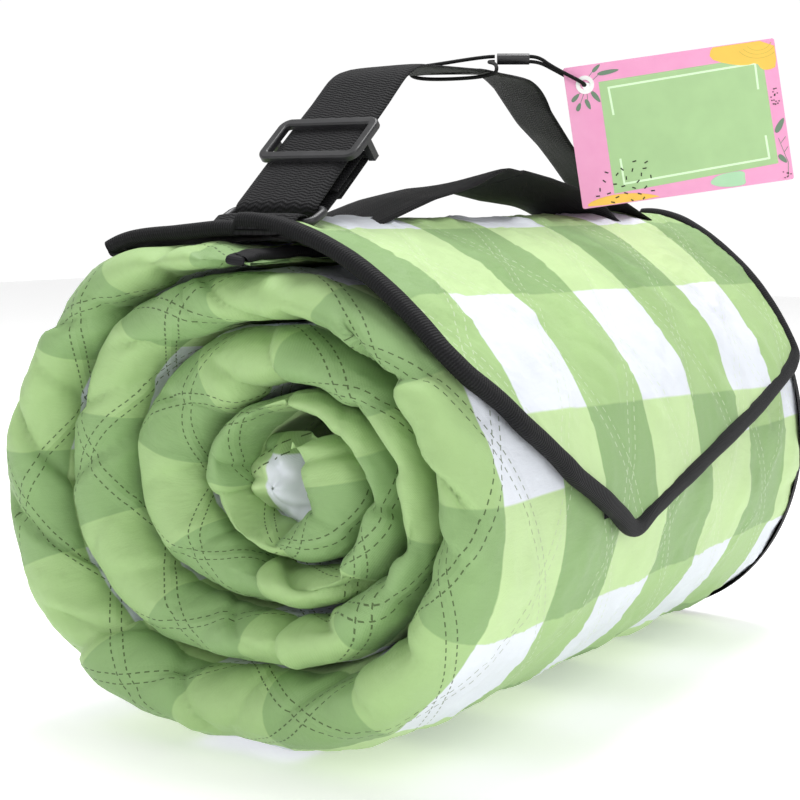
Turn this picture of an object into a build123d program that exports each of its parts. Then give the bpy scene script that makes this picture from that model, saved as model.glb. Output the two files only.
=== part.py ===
from build123d import *
import os
from math import cos, pi, radians, sin

os.makedirs("parts", exist_ok=True)

# Frame: X runs along the rolled blanket, Z is up, the roll rests on Z = 0.
# The flap tip hangs on the -Y side; the wound end of the spiral faces -X. Millimetres.

# ---------------------------------------------------------------- driving dimensions
HALF_LENGTH = 176.0          # half the length of the roll
HALF_FLAT = 10.0             # half the flat the roll rests on
END_ANGLE = 13.0             # where the outer end of the blanket stops, from vertical
END_SKIN = 1.5               # cloth that closes the folded end
END_BINDING = 1.7            # bound edges at the other end

# Each half turn of the spiral, outermost first:
# side (+1 is +Y), bottom height inside and outside, top height inside and outside
HALF_TURNS = (
    (1, 26.0, 0.0, 182.0, 190.5),
    (-1, 26.0, 0.0, 156.0, 182.0),
    (1, 52.0, 26.0, 156.0, 182.0),
    (-1, 52.0, 26.0, 130.0, 156.0),
    (1, 80.0, 52.0, 130.0, 156.0),
    (-1, 80.0, 52.0, 108.0, 130.0),
    (1, 96.0, 80.0, 108.0, 130.0),
)
ROLL_RADIUS = HALF_TURNS[1][4] / 2

# Layers of the folded blanket as fractions of its thickness, inside to outside
SKIN_IN = (0.012, 0.06)
PAD_IN = (0.072, 0.48)
BACKING = (0.49, 0.54)
PAD_OUT = (0.55, 0.94)
SKIN_OUT = (0.952, 1.0)

# Saddle and flap: a quilted panel over the top of the roll
COVER_HALF = 171.0           # half its length
COVER_TOP = 191.0            # height of its underside at the top
BACK_RADIUS = 95.75          # underside, back of the roll
FRONT_RADIUS = 96.0          # underside, front of the roll
BACK_ANGLE = 26.0            # where the saddle is sewn to the roll, from vertical
HINGE_ANGLE = 14.0           # where the flap starts to lift, from vertical
HINGE_GAP = 0.3
FLAP_ANGLE = 115.0
LINING = (1.2, 2.1)          # depths above the underside
FACE = (2.4, 5.6)
BINDING = (0.0, 6.8)
POCKET = (0.9, 5.9)
BINDING_WIDTH = 8.0
BINDING_FOLD = 1.2
PANEL_INSET = 1.5
SEAM_THREAD = 0.8

# Hook-and-loop closure under the flap tip
PATCH_X = (-58.0, -18.0)
HOOK_ANGLES = (76.5, 89.0)   # from vertical
HOOK_DEPTH = (-2.6, -0.3)
LOOP_X = (-64.0, -12.0)
LOOP_ANGLES = (74.0, 92.0)
LOOP_THICK = (0.0, 1.5)

# Webbing
STRAP_Y = -8.0
STRAP_WIDTH = 38.0
DECK = COVER_TOP + FACE[1] + 0.3   # underside of anything sewn on the saddle
TAB_THICK = 1.8
STRAP_THICK = 1.6
HANDLE_THICK = 2.0
STITCH = 0.9
STITCH_HIGH = 0.5
STITCH_MARGIN = 3.0

# Wire ring between the front tab and the shoulder strap
WIRE = 3.2
RING_PITCH = 11.0
RING_SLOPE = 25.0
RING_INNER = 40.0
TAB_BAR = (-137.5, DECK + TAB_THICK + WIRE / 2 + 0.4)
STRAP_BAR = (
    TAB_BAR[0] + RING_PITCH * cos(radians(RING_SLOPE)),
    TAB_BAR[1] + RING_PITCH * sin(radians(RING_SLOPE)),
)

# Shoulder strap: a straight run from the ring, an arch, a run down to the sewn end
RUN_SLOPE = 40.0
LOOP_INNER = 2.1
PLY = LOOP_INNER + STRAP_THICK / 2
RETURN_END = 23.0
RUN_REACH = 80.0
ARCH_FRONT_X = -85.0
ARCH_REAR_X = 54.7
SPLIT_GAP = 0.4
ARCH_CORNERS = ((-67.2, 261.0), (32.0, 263.0), (66.0, 237.5), (148.0, DECK + 1.0), (161.5, DECK + 1.0))
ARCH_RADII = (38.0, 38.0, 38.0, 12.0)

# Tri-glide slider on the straight run (distances along the run from the ring)
SLIDER_AT = 35.0
SLIDER_HALF = 12.0
SLIDER_BAR = 4.0
SLIDER_RAIL = 4.0
SLIDER_TOP = (4.0, 6.6)
SLIDER_CORNER = 5.0
SLIDER_POST = 3.0
CENTRE_BAR = 0.9
CENTRE_BAR_LOW = -2.9
BAR_LOOP_THICK = 1.2
BAR_LOOP_TAIL = 23.0

# Carry handle, sewn at both ends of the saddle
HANDLE_CORNERS = (
    (-118.0, DECK + 1.0), (-98.0, DECK + 1.0), (-52.0, 209.0), (15.0, 218.0),
    (75.0, 209.0), (108.0, DECK + 1.0), (136.0, DECK + 1.0),
)
HANDLE_RADII = (40.0, 150.0, 150.0, 150.0, 40.0)
GRIP_X = (-52.0, 75.0)

# Swing tag and its cord
VIEW = Vector(0.815, 0.569, -0.111).normalized()      # the card lies square to this
CARD_RIGHT = Vector(0.551, -0.822, 0.145)             # along the long edge of the card
CARD_SIZE = (93.0, 62.0)
CARD_THICK = 0.8
EYELET_AT = Vector(45.0, -40.0, 258.8)
EYELET_INSET = (8.5, 8.5)
EYELET_RADII = (2.2, 4.0)
EYELET_THICK = 1.6
CORD = 1.6
CRIMP_AT = Vector(27.6, -14.0, 270.0)
CRIMP_ALONG = Vector(0.572, -0.820, 0.0).normalized()
CRIMP_LENGTH = 14.0
CRIMP_PLAY = 1.0              # gap that lets the sleeve turn on its loop
CRIMP_RADIUS = 2.4
STRAND_SIDE = 1.1
CORD_LOOP_X = -12.5
CARD_CLEAR = 3.0              # how far the cord stands off the card on each side


def save(part, label):
    part.label = label
    export_step(part, f"parts/{label}.step")
    print(label, "volume", round(part.volume, 1), "valid", part.is_valid)


def blend(low, high, share):
    return low + (high - low) * share


# ---------------------------------------------------------------- spiral roll
def spiral_path(share):
    # one surface of the wound blanket, drawn from its outer end to the core
    _, _, _, top_in, top_out = HALF_TURNS[0]
    top = blend(top_in, top_out, share)
    radius = top - ROLL_RADIUS
    turn = radians(END_ANGLE)
    start = (-HALF_FLAT - radius * sin(turn), ROLL_RADIUS + radius * cos(turn))
    middle = (-HALF_FLAT - radius * sin(turn / 2), ROLL_RADIUS + radius * cos(turn / 2))
    ThreePointArc(start, middle, (-HALF_FLAT, top))
    Line((-HALF_FLAT, top), (HALF_FLAT, top))
    for index, (side, bottom_in, bottom_out, top_in, top_out) in enumerate(HALF_TURNS):
        bottom = blend(bottom_in, bottom_out, share)
        top = blend(top_in, top_out, share)
        outer = side * (HALF_FLAT + (top - bottom) / 2)
        ThreePointArc((side * HALF_FLAT, bottom), (outer, (top + bottom) / 2), (side * HALF_FLAT, top))
        if side < 0:
            Line((-HALF_FLAT, top), (HALF_FLAT, top))
        elif index < len(HALF_TURNS) - 1:
            Line((-HALF_FLAT, bottom), (HALF_FLAT, bottom))
    return start, (HALF_FLAT, bottom)


def spiral_face(inside, outside):
    # the wound strip between two fractions of its thickness
    with BuildSketch() as face:
        with BuildLine():
            outer_start, outer_end = spiral_path(outside)
            inner_start, inner_end = spiral_path(inside)
            Line(outer_start, inner_start)
            Line(outer_end, inner_end)
        make_face()
    return face.sketch


def spiral_layer(band):
    # a padding or backing layer, sealed between the folded end and the bound end
    start = -HALF_LENGTH + END_SKIN + 0.3
    with BuildPart() as layer:
        with BuildSketch(Plane.YZ.offset(start)):
            add(spiral_face(*band))
        extrude(amount=HALF_LENGTH - END_BINDING - 0.3 - start)
    return layer.part


def face_fabric():
    # gingham cloth on both faces of the folded blanket, closed at the folded end
    with BuildPart() as fabric:
        with BuildSketch(Plane.YZ.offset(-HALF_LENGTH)):
            add(spiral_face(SKIN_IN[0], SKIN_OUT[1]))
        extrude(amount=END_SKIN)
        for skin in (SKIN_IN, SKIN_OUT):
            with BuildSketch(Plane.YZ.offset(-HALF_LENGTH)):
                add(spiral_face(*skin))
            extrude(amount=2 * HALF_LENGTH - END_BINDING)
    save(fabric.part, "face_fabric")


def far_edge_binding():
    with BuildPart() as binding:
        with BuildSketch(Plane.YZ.offset(HALF_LENGTH - END_BINDING)):
            add(spiral_face(SKIN_IN[0], SKIN_OUT[1]))
        extrude(amount=END_BINDING)
    save(binding.part, "far_edge_binding")


def outer_end_binding():
    # dark tape that closes the outer end of the blanket, under the flap
    low = blend(HALF_TURNS[0][3], HALF_TURNS[0][4], SKIN_IN[0]) - ROLL_RADIUS
    high = blend(HALF_TURNS[0][3], HALF_TURNS[0][4], SKIN_OUT[1]) - ROLL_RADIUS
    with BuildPart() as tape:
        with BuildSketch(Plane.YZ.offset(-HALF_LENGTH)):
            add(sector(ROLL_RADIUS, low, high, END_ANGLE + 0.15, END_ANGLE + 1.6))
        extrude(amount=2 * HALF_LENGTH)
    save(tape.part, "outer_end_binding")


# ---------------------------------------------------------------- saddle and flap
def on_front(centre_z, radius, angle):
    # a point on the front of the roll, the angle measured from vertical
    turn = radians(angle)
    return (-HALF_FLAT - radius * sin(turn), centre_z + radius * cos(turn))


def on_back(radius, angle):
    turn = radians(angle)
    return (HALF_FLAT + radius * sin(turn), COVER_TOP - BACK_RADIUS + radius * cos(turn))


def sector(centre_z, inner, outer, start, end):
    # part of a ring round the front centre of the roll
    middle = (start + end) / 2
    with BuildSketch() as face:
        with BuildLine():
            for radius in (inner, outer):
                ThreePointArc(
                    on_front(centre_z, radius, start),
                    on_front(centre_z, radius, middle),
                    on_front(centre_z, radius, end),
                )
            Line(on_front(centre_z, inner, start), on_front(centre_z, outer, start))
            Line(on_front(centre_z, inner, end), on_front(centre_z, outer, end))
        make_face()
    return face.sketch


def cover_edge(depth, back, front):
    # one surface of the saddle, from its seam over the top to the hinge line
    back_radius = BACK_RADIUS + depth
    front_radius = FRONT_RADIUS + depth
    centre_z = COVER_TOP - FRONT_RADIUS
    top = COVER_TOP + depth
    ThreePointArc(on_back(back_radius, back), on_back(back_radius, back / 2), (HALF_FLAT, top))
    Line((HALF_FLAT, top), (-HALF_FLAT, top))
    ThreePointArc(
        (-HALF_FLAT, top), on_front(centre_z, front_radius, front / 2), on_front(centre_z, front_radius, front)
    )
    return on_back(back_radius, back), on_front(centre_z, front_radius, front)


def saddle_block(depths, inset):
    # a slab of the saddle between two depths, drawn in from its three bound edges
    half = COVER_HALF - inset
    back = BACK_ANGLE - inset / radians(BACK_RADIUS)
    with BuildPart() as block:
        with BuildSketch(Plane.YZ.offset(-half)):
            with BuildLine():
                low_back, low_front = cover_edge(depths[0], back, HINGE_ANGLE)
                high_back, high_front = cover_edge(depths[1], back, HINGE_ANGLE)
                Line(low_back, high_back)
                Line(low_front, high_front)
            make_face()
        extrude(amount=2 * half)
    return block.part


def flap_block(depths, inset):
    # a slab of the flap between two depths, cut to its lopsided point
    centre_z = COVER_TOP - FRONT_RADIUS
    with BuildPart() as block:
        with BuildSketch(Plane.YZ.offset(-COVER_HALF)):
            low = FRONT_RADIUS + depths[0]
            high = FRONT_RADIUS + depths[1]
            add(sector(centre_z, low, high, HINGE_ANGLE + HINGE_GAP, FLAP_ANGLE))
        extrude(amount=2 * COVER_HALF)
        with BuildSketch(Plane.XZ):
            with BuildLine():
                Line((-COVER_HALF, 300), (-COVER_HALF, 171))
                ThreePointArc((-COVER_HALF, 171), (-130, 129), (-56, 87))
                ThreePointArc((-56, 87), (-41, 82), (-27, 86.5))
                Line((-27, 86.5), (COVER_HALF, 137))
                Line((COVER_HALF, 137), (COVER_HALF, 300))
                Line((COVER_HALF, 300), (-COVER_HALF, 300))
            make_face()
            if inset:
                offset(amount=-inset, kind=Kind.ARC)
        extrude(amount=150, mode=Mode.INTERSECT)
    return block.part


def bound_edge(block, label):
    # folded tape round the edge of a panel, with a pocket for the panel
    with BuildPart() as tape:
        add(block(BINDING, 0))
        add(block(BINDING, BINDING_WIDTH), mode=Mode.SUBTRACT)
        add(block(POCKET, BINDING_FOLD), mode=Mode.SUBTRACT)
    save(tape.part, label)


def covers():
    save(saddle_block(FACE, PANEL_INSET), "saddle_face")
    save(saddle_block(LINING, PANEL_INSET), "saddle_lining")
    bound_edge(saddle_block, "saddle_binding")
    save(flap_block(FACE, PANEL_INSET), "flap_face")
    save(flap_block(LINING, PANEL_INSET), "flap_lining")
    bound_edge(flap_block, "flap_binding")


def saddle_seam():
    # thread that sews the back edge of the saddle to the roll
    low = BACK_RADIUS + BINDING[1] + 0.01
    with BuildPart() as thread:
        with BuildSketch(Plane.YZ.offset(-COVER_HALF)):
            with BuildLine():
                Polyline(
                    on_back(low, BACK_ANGLE - 2.0),
                    on_back(low + SEAM_THREAD, BACK_ANGLE - 2.0),
                    on_back(low + SEAM_THREAD, BACK_ANGLE - 2.6),
                    on_back(low, BACK_ANGLE - 2.6),
                    close=True,
                )
            make_face()
        extrude(amount=2 * COVER_HALF)
    save(thread.part, "saddle_seam_thread")


def closure_patches():
    centre_z = COVER_TOP - FRONT_RADIUS
    with BuildPart() as hook:
        with BuildSketch(Plane.YZ.offset(PATCH_X[0])):
            add(sector(centre_z, FRONT_RADIUS + HOOK_DEPTH[0], FRONT_RADIUS + HOOK_DEPTH[1], *HOOK_ANGLES))
        extrude(amount=PATCH_X[1] - PATCH_X[0])
    save(hook.part, "hook_patch")
    with BuildPart() as loop:
        with BuildSketch(Plane.YZ.offset(LOOP_X[0])):
            add(sector(ROLL_RADIUS, ROLL_RADIUS + LOOP_THICK[0], ROLL_RADIUS + LOOP_THICK[1], *LOOP_ANGLES))
        extrude(amount=LOOP_X[1] - LOOP_X[0])
    save(loop.part, "loop_patch")


# ---------------------------------------------------------------- webbing
def strap_plane():
    return Plane(origin=(0, STRAP_Y, 0), x_dir=(1, 0, 0), z_dir=(0, -1, 0))


def run_plane():
    # local x climbs the straight run from the ring, local y stands off its face
    slope = radians(RUN_SLOPE)
    return Plane(
        origin=(STRAP_BAR[0], STRAP_Y, STRAP_BAR[1]), x_dir=(cos(slope), 0, sin(slope)), z_dir=(0, -1, 0)
    )


def box_stitch(label, start, end, height):
    # a sewn rectangle with a cross in it, on top of a webbing end
    length = end - start - 2 * STITCH_MARGIN
    width = STRAP_WIDTH - 2 * STITCH_MARGIN
    centre = ((start + end) / 2, STRAP_Y)
    diagonal = (length**2 + width**2) ** 0.5
    lean = Vector(length, width).get_angle(Vector(1, 0))
    with BuildPart() as thread:
        with BuildSketch(Plane.XY.offset(height)):
            with Locations(centre):
                Rectangle(length, width)
                Rectangle(length - 2 * STITCH, width - 2 * STITCH, mode=Mode.SUBTRACT)
                Rectangle(diagonal - 2 * STITCH, STITCH, rotation=lean)
                Rectangle(diagonal - 2 * STITCH, STITCH, rotation=-lean)
        extrude(amount=STITCH_HIGH)
    save(thread.part, label)


def front_tab():
    # webbing folded round the lower bar of the ring and sewn to the saddle
    bar_x, bar_z = TAB_BAR
    reach = WIRE / 2 + 0.4 + TAB_THICK / 2
    low = DECK + TAB_THICK / 2
    high = low + TAB_THICK + 0.3
    with BuildPart() as tab:
        with BuildSketch(strap_plane()):
            with BuildLine():
                Line((-161.5, low), (bar_x, low))
                ThreePointArc((bar_x, low), (bar_x + reach, bar_z), (bar_x, bar_z + reach))
                FilletPolyline(
                    (bar_x, bar_z + reach), (bar_x - 3.5, bar_z + reach), (bar_x - 10, high), (-161.5, high), radius=2.5
                )
                offset(amount=TAB_THICK / 2, side=Side.BOTH)
            make_face()
        extrude(amount=STRAP_WIDTH / 2, both=True)
    save(tab.part, "front_tab")
    box_stitch("front_tab_stitching", -163, -147, high + TAB_THICK / 2)


def strap_ring():
    slope = radians(RING_SLOPE)
    middle = ((TAB_BAR[0] + STRAP_BAR[0]) / 2, STRAP_Y, (TAB_BAR[1] + STRAP_BAR[1]) / 2)
    plane = Plane(origin=middle, x_dir=(cos(slope), 0, sin(slope)), z_dir=(-sin(slope), 0, cos(slope)))
    half_long = (RING_INNER + WIRE) / 2
    half_short = RING_PITCH / 2
    with BuildPart() as ring:
        with BuildLine(plane) as path:
            FilletPolyline(
                (half_short, half_long), (-half_short, half_long), (-half_short, -half_long), (half_short, -half_long),
                radius=3.5, close=True,
            )
        with BuildSketch(Plane(origin=path.line @ 0, z_dir=path.line % 0)):
            Circle(WIRE / 2)
        sweep()
    save(ring.part, "strap_ring")


def shoulder_strap():
    # the straight run: up from the ring, with the short return ply under it
    with BuildPart() as run:
        with BuildSketch(run_plane()):
            with BuildLine():
                Line((RUN_REACH, PLY), (0, PLY))
                ThreePointArc((0, PLY), (-PLY, 0), (0, -PLY))
                Line((0, -PLY), (RETURN_END, -PLY))
                offset(amount=STRAP_THICK / 2, side=Side.BOTH)
            make_face()
        extrude(amount=STRAP_WIDTH / 2, both=True)
        split(bisect_by=Plane.YZ.offset(ARCH_FRONT_X - SPLIT_GAP / 2), keep=Keep.BOTTOM)
    save(run.part, "shoulder_strap_front_run")

    # the whole of the rest of the strap, cut into the part that swings and the sewn end
    start = run_plane().from_local_coords((RETURN_END, PLY, 0))
    corners = [(start.X, start.Z), *ARCH_CORNERS]
    with BuildPart() as length:
        with BuildSketch(strap_plane()):
            with BuildLine():
                FilletPolyline(*corners, radius=ARCH_RADII)
                offset(amount=STRAP_THICK / 2, side=Side.BOTH)
            make_face()
        extrude(amount=STRAP_WIDTH / 2, both=True)
        split(bisect_by=Plane.YZ.offset(ARCH_FRONT_X + SPLIT_GAP / 2), keep=Keep.TOP)
    with BuildPart() as arch:
        add(length.part)
        split(bisect_by=Plane.YZ.offset(ARCH_REAR_X - SPLIT_GAP / 2), keep=Keep.BOTTOM)
    with BuildPart() as rear:
        add(length.part)
        split(bisect_by=Plane.YZ.offset(ARCH_REAR_X + SPLIT_GAP / 2), keep=Keep.TOP)
    save(arch.part, "shoulder_strap_arch")
    save(rear.part, "shoulder_strap_rear_end")
    box_stitch("rear_end_stitching", 148.5, 163.5, DECK + 1.0 + STRAP_THICK / 2)


def slider():
    inner = STRAP_WIDTH / 2 + 0.6
    run = run_plane()
    thick = SLIDER_TOP[1] - SLIDER_TOP[0]
    face = Plane(origin=run.from_local_coords((SLIDER_AT, SLIDER_TOP[0], 0)), x_dir=run.x_dir, z_dir=run.y_dir)
    with BuildPart() as frame:
        with BuildSketch(face):
            RectangleRounded(2 * SLIDER_HALF, 2 * (inner + SLIDER_RAIL), SLIDER_CORNER)
            RectangleRounded(2 * (SLIDER_HALF - SLIDER_BAR), 2 * inner, 1.0, mode=Mode.SUBTRACT)
        extrude(amount=thick)
        fillet(frame.edges().group_by(Axis(face.origin, face.z_dir))[-1], 0.9)
        with BuildSketch(face):
            with GridLocations(0, 2 * inner + SLIDER_RAIL, 1, 2):
                Rectangle(SLIDER_POST, SLIDER_RAIL - 1.0)
        extrude(amount=CENTRE_BAR_LOW - CENTRE_BAR - 0.4 - SLIDER_TOP[0])
        with BuildSketch(run):
            with Locations((SLIDER_AT, CENTRE_BAR_LOW)):
                Circle(CENTRE_BAR)
        extrude(amount=inner + 1.0, both=True)
    save(frame.part, "slider_frame")

    # the end of the return ply, folded round the centre bar and sewn
    reach = CENTRE_BAR + 0.2 + BAR_LOOP_THICK / 2
    with BuildPart() as loop:
        with BuildSketch(run_plane()):
            with BuildLine():
                Line((SLIDER_AT - BAR_LOOP_TAIL, CENTRE_BAR_LOW + reach), (SLIDER_AT, CENTRE_BAR_LOW + reach))
                ThreePointArc(
                    (SLIDER_AT, CENTRE_BAR_LOW + reach),
                    (SLIDER_AT + reach, CENTRE_BAR_LOW),
                    (SLIDER_AT, CENTRE_BAR_LOW - reach),
                )
                Line((SLIDER_AT, CENTRE_BAR_LOW - reach), (SLIDER_AT - BAR_LOOP_TAIL, CENTRE_BAR_LOW - reach))
                offset(amount=BAR_LOOP_THICK / 2, side=Side.BOTH)
            make_face()
        extrude(amount=STRAP_WIDTH / 2, both=True)
    save(loop.part, "slider_bar_loop")


def carry_handle():
    with BuildPart() as whole:
        with BuildSketch(strap_plane()):
            with BuildLine():
                FilletPolyline(*HANDLE_CORNERS, radius=HANDLE_RADII)
                offset(amount=HANDLE_THICK / 2, side=Side.BOTH)
            make_face()
        extrude(amount=STRAP_WIDTH / 2, both=True)
    with BuildPart() as front:
        add(whole.part)
        split(bisect_by=Plane.YZ.offset(GRIP_X[0] - SPLIT_GAP / 2), keep=Keep.BOTTOM)
    with BuildPart() as grip:
        add(whole.part)
        split(bisect_by=Plane.YZ.offset(GRIP_X[0] + SPLIT_GAP / 2), keep=Keep.TOP)
        split(bisect_by=Plane.YZ.offset(GRIP_X[1] - SPLIT_GAP / 2), keep=Keep.BOTTOM)
    with BuildPart() as rear:
        add(whole.part)
        split(bisect_by=Plane.YZ.offset(GRIP_X[1] + SPLIT_GAP / 2), keep=Keep.TOP)
    save(front.part, "carry_handle_front_end")
    save(grip.part, "carry_handle_grip")
    save(rear.part, "carry_handle_rear_end")
    box_stitch("handle_front_stitching", -118.5, -101.0, DECK + HANDLE_THICK)
    box_stitch("handle_rear_stitching", 116.5, 136.5, DECK + HANDLE_THICK)


# ---------------------------------------------------------------- swing tag
def card_plane():
    # local x along the long edge, local z out of the printed side, origin at the eyelet
    return Plane(origin=EYELET_AT, x_dir=CARD_RIGHT - VIEW * CARD_RIGHT.dot(VIEW), z_dir=-VIEW)


def tag_card():
    width, height = CARD_SIZE
    centre = (width / 2 - EYELET_INSET[0], EYELET_INSET[1] - height / 2)
    with BuildPart() as card:
        with BuildSketch(card_plane().offset(-CARD_THICK / 2)):
            with Locations(centre):
                RectangleRounded(width, height, 1.0)
            Circle(EYELET_RADII[0] + 0.6, mode=Mode.SUBTRACT)
        extrude(amount=CARD_THICK)
    save(card.part, "tag_card")
    with BuildPart() as eyelet:
        for side in (-1, 1):
            with BuildSketch(card_plane().offset(side * CARD_THICK / 2)):
                Circle(EYELET_RADII[1])
                Circle(EYELET_RADII[0], mode=Mode.SUBTRACT)
            extrude(amount=side * (EYELET_THICK - CARD_THICK) / 2)
        with BuildSketch(card_plane().offset(-EYELET_THICK / 2)):
            Circle(EYELET_RADII[0] + 0.5)
            Circle(EYELET_RADII[0], mode=Mode.SUBTRACT)
        extrude(amount=EYELET_THICK)
    save(eyelet.part, "tag_eyelet")


def cord_tube(points, radii, label):
    # a round cord through the points, each corner eased by its own radius
    with BuildPart() as tube:
        with BuildLine() as path:
            FilletPolyline(*points, radius=radii)
        with BuildSketch(Plane(origin=path.line @ 0, z_dir=path.line % 0)):
            Circle(CORD / 2)
        sweep()
    length = path.wire().length
    print(label, "length", round(length, 1), "section x length", round(length * pi * CORD**2 / 4, 1), "radii", radii)
    save(tube.part, label)


def tag_cord():
    side = Vector(0, 0, STRAND_SIDE)
    left = CRIMP_AT - CRIMP_ALONG * (CRIMP_LENGTH / 2)
    right = CRIMP_AT + CRIMP_ALONG * (CRIMP_LENGTH / 2)
    with BuildPart() as crimp:
        with BuildSketch(Plane(origin=left, z_dir=CRIMP_ALONG)):
            Circle(CRIMP_RADIUS)
        extrude(amount=CRIMP_LENGTH)
    save(crimp.part, "tag_cord_crimp")

    # loop round the shoulder strap: over, round both edges and under
    over = 265.2
    under = 259.6
    edge_front = STRAP_Y - STRAP_WIDTH / 2 - 1.5
    edge_back = STRAP_Y + STRAP_WIDTH / 2 + 1.5
    meet = left - CRIMP_ALONG * CRIMP_PLAY
    cord_tube(
        [
            meet + side,
            meet + side - CRIMP_ALONG * 4,
            Vector(CORD_LOOP_X, edge_back - 6, over),
            Vector(CORD_LOOP_X, edge_back, over),
            Vector(CORD_LOOP_X, edge_back, under),
            Vector(CORD_LOOP_X + 2, edge_front, under),
            Vector(CORD_LOOP_X + 4, edge_front, over),
            meet - side - CRIMP_ALONG * 4,
            meet - side,
        ],
        2.0,
        "tag_cord_strap_loop",
    )

    # loop through the eyelet: down the printed side, through, and back behind the card
    card = card_plane()
    cord_tube(
        [
            right + side,
            right + side + CRIMP_ALONG * 4,
            card.from_local_coords((-13.5, 9.5, CARD_CLEAR)),
            card.from_local_coords((0, 0, CARD_CLEAR)),
            card.from_local_coords((0, 0, -CARD_CLEAR)),
            card.from_local_coords((-12.0, 9.0, -CARD_CLEAR)),
            right - side + CRIMP_ALONG * 4,
            right - side,
        ],
        1.3,
        "tag_cord_card_loop",
    )


# ---------------------------------------------------------------- build everything
face_fabric()
save(spiral_layer(PAD_IN), "batting_inner")
save(spiral_layer(BACKING), "waterproof_backing")
save(spiral_layer(PAD_OUT), "batting_outer")
far_edge_binding()
outer_end_binding()
covers()
saddle_seam()
closure_patches()
front_tab()
strap_ring()
shoulder_strap()
slider()
carry_handle()
tag_card()
tag_cord()
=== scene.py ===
import math

import bpy
import numpy as np
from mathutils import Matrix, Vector


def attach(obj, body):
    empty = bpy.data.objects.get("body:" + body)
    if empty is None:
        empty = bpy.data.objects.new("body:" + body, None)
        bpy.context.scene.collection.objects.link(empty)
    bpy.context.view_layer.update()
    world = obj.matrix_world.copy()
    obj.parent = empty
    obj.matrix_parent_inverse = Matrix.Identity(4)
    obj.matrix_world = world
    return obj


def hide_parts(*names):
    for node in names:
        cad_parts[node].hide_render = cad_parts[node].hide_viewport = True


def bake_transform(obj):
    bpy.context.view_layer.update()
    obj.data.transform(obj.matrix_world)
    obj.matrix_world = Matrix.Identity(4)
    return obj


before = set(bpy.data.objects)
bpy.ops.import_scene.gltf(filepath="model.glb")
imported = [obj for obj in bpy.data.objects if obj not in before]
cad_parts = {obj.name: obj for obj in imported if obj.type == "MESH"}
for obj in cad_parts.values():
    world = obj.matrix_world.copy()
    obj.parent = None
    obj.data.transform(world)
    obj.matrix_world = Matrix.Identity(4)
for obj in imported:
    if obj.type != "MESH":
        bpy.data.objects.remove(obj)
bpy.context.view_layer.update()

MM = 0.001
CHECK = 48.4 * MM                      # side of one gingham check
QUILT_U, QUILT_V = 96 * MM, 58 * MM    # one diamond of the quilting, round the roll and along it
ROWS = 2.35 * MM                       # half the gap between the two rows of stitches
SCENE = bpy.context.scene


# ------------------------------------------------------------------ camera, light, floor
def look():
    cam = bpy.data.objects.new("camera", bpy.data.cameras.new("camera"))
    SCENE.collection.objects.link(cam)
    cam.data.lens, cam.data.sensor_width = 81.0, 36.0
    cam.data.clip_start, cam.data.clip_end = 0.01, 20
    cam.location = (-0.6536, -0.4294, 0.2095)
    cam.rotation_euler = (math.radians(90 - 6.38), 0, math.radians(-55.08))
    SCENE.camera = cam
    SCENE.view_settings.view_transform = "Standard"
    SCENE.view_settings.look = "None"
    world = bpy.data.worlds.new("studio")
    SCENE.world = world
    world.use_nodes = True
    # a bright band round the horizon, dimmer overhead
    tree = world.node_tree
    coord = tree.nodes.new("ShaderNodeTexCoord")
    split = tree.nodes.new("ShaderNodeSeparateXYZ")
    fade = tree.nodes.new("ShaderNodeMapRange")
    tree.links.new(coord.outputs["Generated"], split.inputs[0])
    tree.links.new(split.outputs[2], fade.inputs["Value"])
    tree.links.new(fade.outputs[0], tree.nodes["Background"].inputs[1])
    for key, value in (("From Min", 0.2), ("From Max", 0.6), ("To Min", 1.02), ("To Max", 0.5)):
        fade.inputs[key].default_value = value
    tree.nodes["Background"].inputs[0].default_value = (1, 1, 1, 1)

    def area(name, at, to, size, power):
        light = bpy.data.lights.new(name, "AREA")
        light.shape, light.size, light.size_y, light.energy = "RECTANGLE", size[0], size[1], power
        ob = bpy.data.objects.new(name, light)
        ob.location = at
        ob.rotation_euler = (Vector(to) - Vector(at)).to_track_quat("-Z", "Y").to_euler()
        SCENE.collection.objects.link(ob)

    area("key", (0.25, 0.1, 1.7), (0, 0, 0.05), (0.9, 0.9), 26)
    area("front", (-0.9, -1.2, 1.1), (0, 0, 0.1), (0.7, 0.7), 5)

    me = bpy.data.meshes.new("floor")
    me.from_pydata([(-3, -3, 0), (3, -3, 0), (3, 3, 0), (-3, 3, 0)], [], [(0, 1, 2, 3)])
    floor = bpy.data.objects.new("floor", me)
    SCENE.collection.objects.link(floor)
    mat = bpy.data.materials.new("floor")
    mat.use_nodes = True
    b = mat.node_tree.nodes["Principled BSDF"]
    b.inputs["Base Color"].default_value = (0.93, 0.93, 0.93, 1)
    b.inputs["Roughness"].default_value = 0.6
    b.inputs["Specular IOR Level"].default_value = 0.2
    b.inputs["Emission Color"].default_value = (1, 1, 1, 1)
    b.inputs["Emission Strength"].default_value = 0.32
    me.materials.append(mat)


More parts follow.
